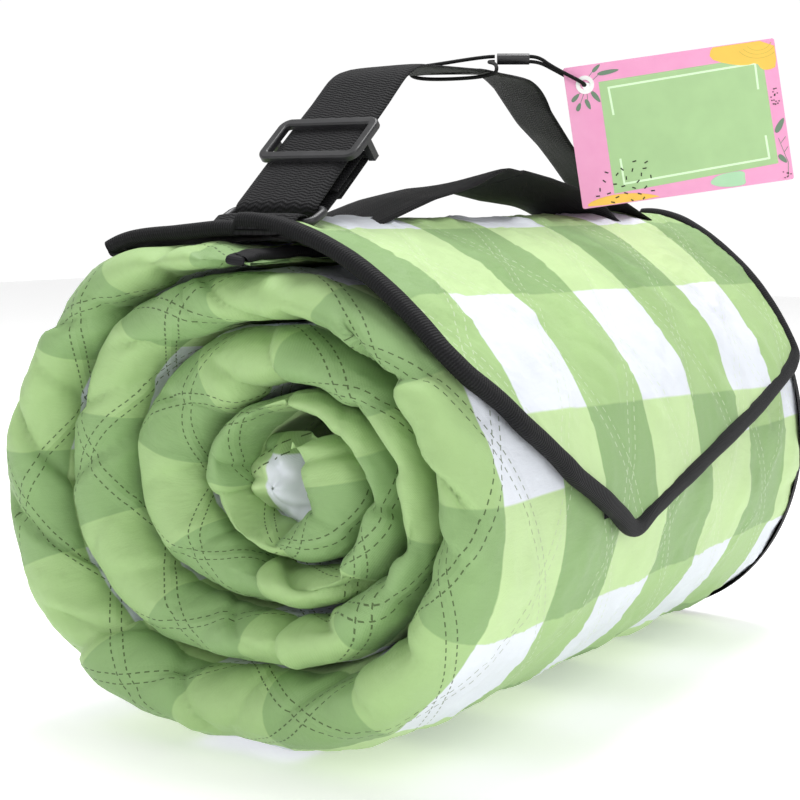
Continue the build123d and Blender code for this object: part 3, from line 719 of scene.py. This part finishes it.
def ribbon(name, line, width, thick, material, twist=None, shift=None, cup=0.0, ripple=0.0, seed=1,
        y0=-8 * MM):
    # webbing along a path of (x, z): twist in degrees and sideways shift are (x, value) tables
    even = np.concatenate([[0], np.cumsum(np.linalg.norm(np.diff(line, axis=0), axis=1))])
    tan = np.gradient(line, axis=0)
    tan /= np.linalg.norm(tan, axis=1, keepdims=True)
    up = np.stack([-tan[:, 1], 0 * tan[:, 0], tan[:, 0]], -1)
    across = np.array([0.0, 1.0, 0.0])[None, :] + 0 * up
    def table(t):
        return np.zeros(len(line)) if t is None else np.interp(line[:, 0] / MM, [k for k, _ in t],
                [v for _, v in t])
    tw = np.radians(table(twist))[:, None]
    a2 = across * np.cos(tw) + up * np.sin(tw)
    u2 = up * np.cos(tw) - across * np.sin(tw)
    centre = np.stack([line[:, 0], y0 + table(shift) * MM, line[:, 1]], -1)
    s = np.linspace(-1, 1, 13)
    ps = np.concatenate([s, s[::-1]]) * width / 2
    pu = np.concatenate([1 - 0.7 * np.abs(s) ** 8, -(1 - 0.7 * np.abs(s[::-1]) ** 8)]) * thick / 2
    bend = cup * (1 - (ps / (width / 2)) ** 2)
    wave = ripple * value_noise(even[:, None] / 0.03 + seed, ps[None, :] / 0.02 + seed, seed)
    points = (centre[:, None, :] + a2[:, None, :] * ps[None, :, None]
              + u2[:, None, :] * (pu[None, :] + bend[None, :] + wave)[:, :, None])
    uv = np.stack([even[:, None] + 0 * ps[None, :], ps[None, :] + 0 * even[:, None]], -1)
    rows, cols = points.shape[:2]
    faces = [tuple(f) for f in grid_faces(rows, cols, wrap=True)]
    faces += [tuple(range(cols)), tuple((rows - 1) * cols + i for i in reversed(range(cols)))]
    return mesh(name, points.reshape(-1, 3), faces, uv.reshape(-1, 2), True, material)


def stitches(name, runs, material, length=2.6 * MM, gap=1.1 * MM, thick=0.45 * MM):
    # short raised threads along straight runs in 3-D, each run a (start, end, up) triple
    points, faces = [], []
    for a, b, up in runs:
        a, b, up = (np.array(v, float) for v in (a, b, up))
        reach = np.linalg.norm(b - a)
        along = (b - a) / reach
        side = np.cross(along, up)
        count = max(1, int(reach / (length + gap)))
        for k in range(count):
            start = a + along * (k + 0.15) * reach / count
            rings = []
            for share, fat in ((0, 0.35), (0.15, 0.9), (0.5, 1.0), (0.85, 0.9), (1.0, 0.35)):
                c = start + along * share * length
                rings.append([c + (side * math.cos(t) * 0.55 + up * math.sin(t) * 0.6) * thick
                        * fat for t in np.linspace(0, 2 * math.pi, 6, endpoint=False)])
            base = len(points)
            points += [q for ring in rings for q in ring]
            faces += [tuple(int(i) + base for i in f) for f in grid_faces(5, 6, wrap=True)]
            faces += [tuple(base + i for i in range(6)), tuple(base + 24 + i for i in reversed(range(6)))]
    return mesh(name, points, faces, None, True, material)


def box_runs(x0, x1, z):
    # a sewn box with a cross in it, on flat webbing
    lo, hi, up = -8 - 15.5, -8 + 15.5, (0, 0, 1)
    corners = [(x0, lo), (x1, lo), (x1, hi), (x0, hi)]
    pairs = [(0, 1), (1, 2), (2, 3), (3, 0), (0, 2), (1, 3)]
    return [((corners[i][0] * MM, corners[i][1] * MM, z * MM),
            (corners[j][0] * MM, corners[j][1] * MM, z * MM), up) for i, j in pairs]


RUN = (-127.53, 205.35)


def on_run(s, n):
    c, k = math.cos(math.radians(40)), math.sin(math.radians(40))
    return (RUN[0] + s * c - n * k, RUN[1] + s * k + n * c)


def build_straps(web, thread):
    # front tab, turned round the lower bar of the ring
    bar = (-137.5, 200.7)
    turn = [(bar[0] + 2.9 * math.sin(a), bar[1] - 2.9 * math.cos(a)) for a in np.linspace(0.3, 2.9, 8)]
    tab_line = rounded([(-151, 197.4), (-137.5, 197.8)] + turn
            + [(-140.5, 203.3), (-145.5, 199.7), (-151, 199.4)], 1.5, 0.8 * MM)
    tab = ribbon("front_tab_webbing", tab_line, 38 * MM, 1.7 * MM, web, seed=2)
    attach(tab, "roll")
    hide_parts("front_tab")
    sewn = stitches("front_tab_stitches", box_runs(-150, -144.5, 200.7), thread)
    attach(sewn, "roll")
    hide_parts("front_tab_stitching")

    # shoulder strap: return ply, round the ring, through the slider, over the arch
    loop = [on_run(-2.9 * math.sin(a), -2.9 * math.cos(a)) for a in np.linspace(0.25, 2.89, 9)]
    front = [on_run(22, -2.9), on_run(0.5, -2.9)] + loop + [on_run(0.5, 2.9), on_run(60, 2.9)]
    crown = [(-67.2, 261.0), (32.0, 263.0), (66.0, 237.5), (142.0, 198.1), (155.0, 198.1)]
    line = rounded(front + crown, [1.5] * (len(front) - 1) + [38, 38, 60, 12], 1.3 * MM)
    twist = ((-90, 0), (-60, -2), (-15, 0), (20, 7), (45, 23), (85, 24), (115, 17), (140, 4), (160, 0))
    cut = int(np.argmax((line[:, 0] > -0.015) & (line[:, 1] > 0.25)))
    a = ribbon("shoulder_strap_front", line[:cut + 1], 38 * MM, 1.6 * MM, web, twist, None, 0.5 * MM,
            0.5 * MM, 3)
    b = ribbon("shoulder_strap_back", line[cut:], 38 * MM, 1.6 * MM, web, twist, None, 0.5 * MM, 0.5 * MM,
            3)
    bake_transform(a)
    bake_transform(b)
    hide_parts("shoulder_strap_front_run", "shoulder_strap_arch")
    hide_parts("shoulder_strap_rear_end")
    sewn = stitches("shoulder_strap_stitches", box_runs(140, 153, 199.2), thread)
    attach(sewn, "roll")
    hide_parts("rear_end_stitching")

    # webbing folded round the middle bar of the slider
    turn = [on_run(35 + 1.7 * math.sin(a), -2.9 + 1.7 * math.cos(a)) for a in np.linspace(0.2, 2.94, 8)]
    bar_line = rounded([on_run(12, -1.2)] + turn + [on_run(12, -4.6)], 0.6, 0.8 * MM)
    loop = ribbon("slider_webbing", bar_line, 38 * MM, 1.1 * MM, web, seed=5)
    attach(loop, "slider")
    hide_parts("slider_bar_loop")

    # carry handle
    corners = [(-118, 197.9), (-98, 197.9), (-52, 209.0), (4, 218.2), (75, 209.0), (104, 197.9),
            (134, 197.9)]
    line = rounded(corners, [30, 90, 14, 90, 30], 1.3 * MM)
    twist = ((-100, 0), (-60, 0), (-22, -3), (3, -13), (40, -15), (85, -8), (108, 0))
    cut = int(np.argmax(line[:, 0] > 0.015))
    a = ribbon("carry_handle_front", line[:cut + 1], 38 * MM, 2.0 * MM, web, twist, None, -0.4 * MM,
            0.5 * MM, 7)
    b = ribbon("carry_handle_back", line[cut:], 38 * MM, 2.0 * MM, web, twist, None, -0.4 * MM, 0.5 * MM, 7)
    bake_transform(a)
    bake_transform(b)
    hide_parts("carry_handle_front_end", "carry_handle_grip")
    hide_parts("carry_handle_rear_end")
    for name, x0, x1, node in (("handle_front_stitches", -116, -102, "handle_front_stitching"),
                               ("handle_back_stitches", 114, 130, "handle_rear_stitching")):
        sewn = stitches(name, box_runs(x0, x1, 199.1), thread)
        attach(sewn, "roll")
        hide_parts(node)


# ------------------------------------------------------------------ tag and its cord
VIEW = np.array([0.815, 0.569, -0.111]) / np.linalg.norm([0.815, 0.569, -0.111])
RIGHT = np.array([0.551, -0.822, 0.145])
RIGHT = (RIGHT - VIEW * (RIGHT @ VIEW)) / np.linalg.norm(RIGHT - VIEW * (RIGHT @ VIEW))
RISE = np.cross(-VIEW, RIGHT)
EYELET = np.array([45.0, -40.0, 258.8])


def on_card(x, y, z=0.0):
    # card coordinates in mm: x right and y down from the top left corner, z out of the print
    return (EYELET + RIGHT * (x - 8.5) + RISE * (8.5 - y) - VIEW * z) * MM


def outline(width, height, radius, count=8):
    out = []
    for cx, cy, a0 in ((width - radius, radius, -90), (width - radius, height - radius, 0),
            (radius, height - radius, 90), (radius, radius, 180)):
        for a in np.radians(np.linspace(a0, a0 + 90, count)):
            out.append((cx + radius * math.cos(a), cy + radius * math.sin(a)))
    return out


def build_card():
    # the card, with a round hole where the eyelet sits
    edge = np.array(outline(93, 62, 1.0, 12))
    angle = np.arctan2(edge[:, 1] - 8.5, edge[:, 0] - 8.5)
    hole = np.stack([8.5 + 2.8 * np.cos(angle), 8.5 + 2.8 * np.sin(angle)], -1)
    k = len(edge)
    loops = [(edge, 0.4), (hole, 0.4), (hole, -0.4), (edge, -0.4)]
    points = [on_card(x, y, z) for loop, z in loops for x, y in loop]
    faces = [tuple(f) for f in grid_faces(4, k, wrap=True)]
    faces += [((3 * k) + i, (3 * k) + (i + 1) % k, (i + 1) % k, i) for i in range(k)]
    n = Nodes("pink_card")
    coord = n.tree.nodes.new("ShaderNodeTexCoord").outputs["Object"]
    colour = n.mix(n.ramp(n.noise(60, 3, coord), 0.3, 0.7), srgb(238, 158, 200), srgb(243, 168, 207))
    mat = n.finish(colour, 0.45, n.bump(n.noise(1500, 2, coord), 0.02 * MM, 0.4), specular=0.35)
    return mesh("tag_card_print", points, faces, None, False, mat)


def flat(name, colour, rough=0.45):
    n = Nodes(name)
    coord = n.tree.nodes.new("ShaderNodeTexCoord").outputs["Object"]
    tint = n.mix(n.ramp(n.noise(90, 2, coord), 0.3, 0.7), [c * 0.96 for c in colour[:3]] + [1],
            [min(1, c * 1.03) for c in colour[:3]] + [1])
    return n.finish(tint, rough, n.bump(n.noise(1500, 2, coord), 0.02 * MM, 0.3), specular=0.3)


def smooth_loop(points, times=2):
    p = np.array(points, float)
    for _ in range(times):
        q = np.roll(p, -1, 0)
        p = np.stack([0.75 * p + 0.25 * q, 0.25 * p + 0.75 * q], 1).reshape(-1, 2)
    return p


def build_print():
    # printed shapes: flat patches a hair above the card, clipped to its edge
    inks = {"panel": srgb(172, 206, 150), "line": srgb(222, 250, 210), "mustard": srgb(250, 200, 88),
            "ring": srgb(214, 190, 84),
            "leaf": srgb(112, 138, 116), "mint": srgb(178, 220, 180), "ink": srgb(38, 44, 26)}
    shapes = []
    shapes.append(("panel", [(13.6, 7.6), (81.2, 6.6), (81.6, 50.8), (13.6, 53.6)]))
    shapes.append(("mustard",
            smooth_loop([(59.6, 4.6), (61, 0.3), (64, 0.3), (86.7, 0.3), (86.7, 11.6), (83.2, 12.6),
                    (80.2, 12.0), (78.6, 8.8), (74, 9.6), (66, 7.6)], 1)))
    shapes.append(("mustard",
            smooth_loop([(2.2, 57.7), (2.4, 56), (8, 54.4), (15, 53.9), (23, 54.6), (28.5, 56),
                    (33, 57.7)], 1)))
    shapes.append(("mint", smooth_loop([(52.4, 54.6), (56, 52.2), (62, 51.6), (67.6, 51.8), (67.2, 55),
            (67.4, 57.6), (61, 57.7), (55, 56.6)])))
    def bar(a, b, w):
        a, b = np.array(a, float), np.array(b, float)
        d = (b - a) / np.linalg.norm(b - a)
        o = np.array([-d[1], d[0]]) * w / 2
        return [a + o, b + o, b - o, a - o]
    for a, b in (((17.0, 10.5), (78.2, 9.1)), ((17.3, 10.2), (17.8, 21.8)), ((77.9, 8.8), (77.7, 19.8)),
            ((17.9, 50.2), (78.5, 48.2)),
                 ((18.0, 39.8), (18.2, 50.4)), ((78.0, 38.8), (78.2, 48.4))):
        shapes.append(("line", bar(a, b, 0.85)))
    for cx, cy, long, wide, turn in ((13.4, 1.9, 4.4, 1.5, -38), (18.0, 4.1, 9.0, 1.8, -4),
            (3.4, 12.7, 4.4, 1.7, -40), (4.2, 16.6, 3.6, 1.7, -62),
                                     (8.1, 16.0, 4.6, 1.7, 72), (11.7, 13.4, 5.6, 1.9, 58),
                                         (84.3, 35.6, 6.8, 2.3, -54), (83.6, 49.2, 4.6, 2.0, 52)):
        t = np.linspace(0, 2 * math.pi, 18, endpoint=False)
        lx, ly = long / 2 * np.cos(t), wide / 2 * np.sin(t) * (1 - 0.25 * np.cos(t))
        c, k = math.cos(math.radians(turn)), math.sin(math.radians(turn))
        shapes.append(("leaf", np.stack([cx + lx * c - ly * k, cy + lx * k + ly * c], -1)))
    for a, b in (((8.6, 6.2), (11.6, 3.2)), ((10.6, 7.0), (14, 4.6)), ((6.2, 10.6), (4.8, 11.6)),
            ((7.0, 11.6), (5.2, 15)), ((8.3, 11.8), (8.2, 14)),
                 ((83.0, 40.6), (84.2, 45.4)), ((84.2, 45.4), (85.6, 51.0)), ((83.6, 43.0), (86.0, 40.4)),
                     ((84.6, 46.6), (86.4, 44.6)), ((85.6, 51.0), (84.8, 56.6))):
        shapes.append(("leaf", bar(a, b, 0.22)))
    for radius in (4.6, 6.2, 7.8):
        t = np.radians(np.linspace(25, 150, 20))
        arc = [(80.5 + radius * math.cos(a) * 1.25, -0.4 + radius * math.sin(a)) for a in t]
        arc = [q for q in arc if q[0] < 86.6 and q[1] > 0.3]
        ins = [(80.5 + (q[0] - 80.5) * (1 - 0.28 / radius),
                -0.4 + (q[1] + 0.4) * (1 - 0.28 / radius)) for q in arc]
        shapes.append(("ring", arc + ins[::-1]))
    rng = np.random.RandomState(12)
    dashes = [(11.6, 44.6), (15.8, 45.9), (10.2, 48.0), (8.0, 51.2), (6.8, 53.7), (11.4, 53.2),
            (14.6, 55.2), (14.4, 49.8), (17.6, 51.1), (18.3, 54.1),
              (18.1, 44.2), (22.2, 45.1), (23.5, 41.7), (28.2, 42.7), (27.2, 45.1), (19.3, 48.0),
                  (25.6, 47.4), (29.3, 48.8), (23.9, 50.0), (21.8, 52.4),
              (26.6, 52.8), (29.3, 54.6), (23.8, 55.1), (12.5, 57.0), (20.4, 57.5), (25.2, 57.3)]
    for x, y in dashes:
        turn = rng.uniform(0, math.pi)
        d = np.array([math.cos(turn), math.sin(turn) * 0.9]) * 0.8
        a, b = np.array([x, y]) - d, np.array([x, y]) + d
        b[1], a[1] = min(b[1], 57.6), min(a[1], 57.6)
        shapes.append(("ink", bar(a, b, 0.5)))
    for _ in range(17):
        x, y = rng.uniform(82.2, 86.4), rng.uniform(20.2, 26.8)
        shapes.append(("ink", bar((x - 0.28, y), (x + 0.28, y + 0.1), 0.42)))
    for _ in range(8):
        x, y = rng.uniform(82.6, 86.4), rng.uniform(53.6, 57.2)
        shapes.append(("ink", bar((x - 0.25, y), (x + 0.25, y + 0.1), 0.4)))
    points, faces, slots = [], [], []
    names = list(inks)
    for order, (ink, loop) in enumerate(shapes):
        base = len(points)
        layer = 0.44 + 0.012 * names.index(ink) + 0.0012 * order
        points += [on_card(x * 93 / 87, y * 62 / 58, layer) for x, y in loop]
        faces.append(tuple(range(base, base + len(loop))))
        slots.append(names.index(ink))
    ob = mesh("tag_artwork", points, faces, None, False, None)
    for name in names:
        ob.data.materials.append(flat("print_" + name, inks[name]))
    ob.data.polygons.foreach_set("material_index", slots)
    return ob


def cord(name, points, material, radius=0.8 * MM):
    curve = bpy.data.curves.new(name, "CURVE")
    curve.dimensions = "3D"
    spline = curve.splines.new("NURBS")
    spline.points.add(len(points) - 1)
    for point, at in zip(spline.points, points):
        point.co = (*at, 1.0)
    spline.order_u = 3
    spline.use_endpoint_u = True
    spline.resolution_u = 12
    curve.bevel_depth = radius
    curve.bevel_resolution = 4
    curve.materials.append(material)
    ob = bpy.data.objects.new(name, curve)
    SCENE.collection.objects.link(ob)
    return ob


def build_tag(cord_mat, sleeve_mat, eyelet_mat):
    card, prints = build_card(), build_print()
    for ob in (card, prints):
        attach(ob, "tag")
    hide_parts("tag_card")
    along = np.array([0.572, -0.820, 0.0]) / np.linalg.norm([0.572, -0.820])
    at, side = np.array([27.6, -14.0, 270.0]), np.array([0, 0, 1.1])
    left, right = at - along * 7, at + along * 7
    meet = left - along
    strap_loop = [meet + side, meet + side - along * 4, (-12.5, 6.5, 265.2), (-12.5, 12.5, 265.2),
            (-12.5, 12.5, 259.6), (-10.5, -28.5, 259.6),
                  (-8.5, -28.5, 265.2), meet - side - along * 4, meet - side]
    def hung(x, y, z):
        return EYELET + RIGHT * x + RISE * y - VIEW * z
    card_loop = [right + side, right + side + along * 4, hung(-13.5, 9.5, 3), hung(0, 0, 3),
            hung(0, 0, -3), hung(-12, 9, -3),
                 right - side + along * 4, right - side]
    a = cord("tag_cord_round_strap", [np.array(p) * MM for p in strap_loop], cord_mat)
    b = cord("tag_cord_through_card", [np.array(p) * MM for p in card_loop], cord_mat)
    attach(a, "strap_arch")
    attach(b, "tag_cord")
    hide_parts("tag_cord_strap_loop")
    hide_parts("tag_cord_card_loop")
    return a, b, strap_loop, card_loop


# ------------------------------------------------------------------ build
look()
PATCH = quilt_patch()
cloth_mat = gingham("gingham_cloth")
lining_mat = plain_cloth("dark_lining", srgb(50, 53, 56))
tape_mat = tape("edge_tape", srgb(27, 27, 29), 1.1 * MM, 0.6, 0.02)
web_mat = tape("webbing", srgb(24, 24, 26), 1.5 * MM, 0.8, 0.02, 2.0 * MM)
thread_mat = plain_cloth("black_thread", srgb(20, 20, 22), 2500)
plastic_mat = moulded("black_plastic", srgb(34, 34, 36), 0.42)
wire_mat = moulded("black_wire", srgb(40, 40, 42), 0.35, 0.2)
cord_mat = plain_cloth("waxed_cord", srgb(22, 22, 23), 3000)
eyelet_mat = moulded("white_eyelet", srgb(238, 238, 236), 0.3)

side_steps = np.linspace(1.0, 0.008, 118)
outer_rows = ply_section((28, 16), (side_steps, [0.03, 0.08, 0.2, 0.5, 1.0]), 5)
outer, outer_p, outer_tip = roll_cloth("roll_outer_cloth", END_PHI, 372, 290, outer_rows, cloth_mat,
        2.0 * MM, 5)
inner_rows = ply_section((22, 18), ([1.0, 0.6, 0.3, 0.15, 0.08, 0.03], [0.03, 0.08, 0.2, 0.5, 1.0]), 4)
inner, inner_p, inner_tip = roll_cloth("roll_inner_cloth", 372, CORE_PHI, 600, inner_rows, cloth_mat,
        1.8 * MM, 8)
core = core_cloth(cloth_mat)
for ob in (outer, inner, core):
    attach(ob, "roll")
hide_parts("face_fabric", "batting_outer", "waterproof_backing", "batting_inner")

# edge tape: over every ply at the far end, and along the blanket's outer end
far_rows = [("out", 0.985, 90.0, 0.0)] + [("out", 1.0, 90.0, f) for f in np.linspace(0, 90, 5)] + [("in",
        1.0, 90.0, f) for f in np.linspace(80, 0, 5)] + [("in", 0.985, 90.0, 0.0)]
far_phi = np.linspace(END_PHI, CORE_PHI, 620)
far_p, _ = roll_section(far_phi, far_rows, 0.7 * MM)
far_p[:, :, 2] = np.maximum(far_p[:, :, 2], 0.2 * MM)
far_arc = np.concatenate([[0], np.cumsum(np.radians(np.diff(far_phi)) * spiral(far_phi)[1:])])
far_uv = np.stack([far_arc[:, None] + 0 * far_p[:, :, 0],
        np.linspace(0, 0.03, far_p.shape[1])[None, :] + 0 * far_p[:, :, 0]], -1)
far_tape = mesh("far_edge_tape", far_p.reshape(-1, 3), grid_faces(*far_p.shape[:2]),
        far_uv.reshape(-1, 2), True, tape_mat)
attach(far_tape, "roll")
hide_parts("far_edge_binding")
end_line = outer_p[3, 6:outer_tip + 1][::-1]
end_up = np.stack([0 * end_line[:, 0], end_line[:, 1] - CENTRE_Y, end_line[:, 2] - CENTRE_Z], -1)
end_up /= np.linalg.norm(end_up, axis=1, keepdims=True)
end_tape = tube("outer_end_tape", end_line + end_up * 0.6 * MM, end_up, 4.4 * MM, 1.9 * MM, tape_mat)
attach(end_tape, "roll")
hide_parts("outer_end_binding")

face, lining, edging = build_flap(cloth_mat, lining_mat, tape_mat)
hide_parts("flap_face", "saddle_face")
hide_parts("flap_lining", "saddle_lining")
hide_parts("flap_binding", "saddle_binding", "saddle_seam_thread")
for ob in (face, lining, edging):
    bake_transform(ob)

# the fastener's halves: hooks under the flap, loops on the roll
hooks = pile_patch("hook_pile", -58 * MM, -18 * MM, -88, -76.5, 1.35 * MM, 1.95 * MM, thread_mat, 51)
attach(hooks, "flap")
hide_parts("hook_patch")
loops = pile_patch("loop_pile", -64 * MM, -12 * MM, -91, -76.0, 0.5 * MM, 1.2 * MM, thread_mat, 52)
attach(loops, "roll")
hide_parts("loop_patch")

build_straps(web_mat, thread_mat)
round_strap, through_card, strap_loop, card_loop = build_tag(cord_mat, plastic_mat, eyelet_mat)

kept_nodes = (("slider_frame", plastic_mat), ("strap_ring", wire_mat), ("tag_cord_crimp", plastic_mat),
              ("tag_eyelet", eyelet_mat))
for node, mat in kept_nodes:
    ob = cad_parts[node]
    ob.data.materials.clear()
    ob.data.materials.append(mat)
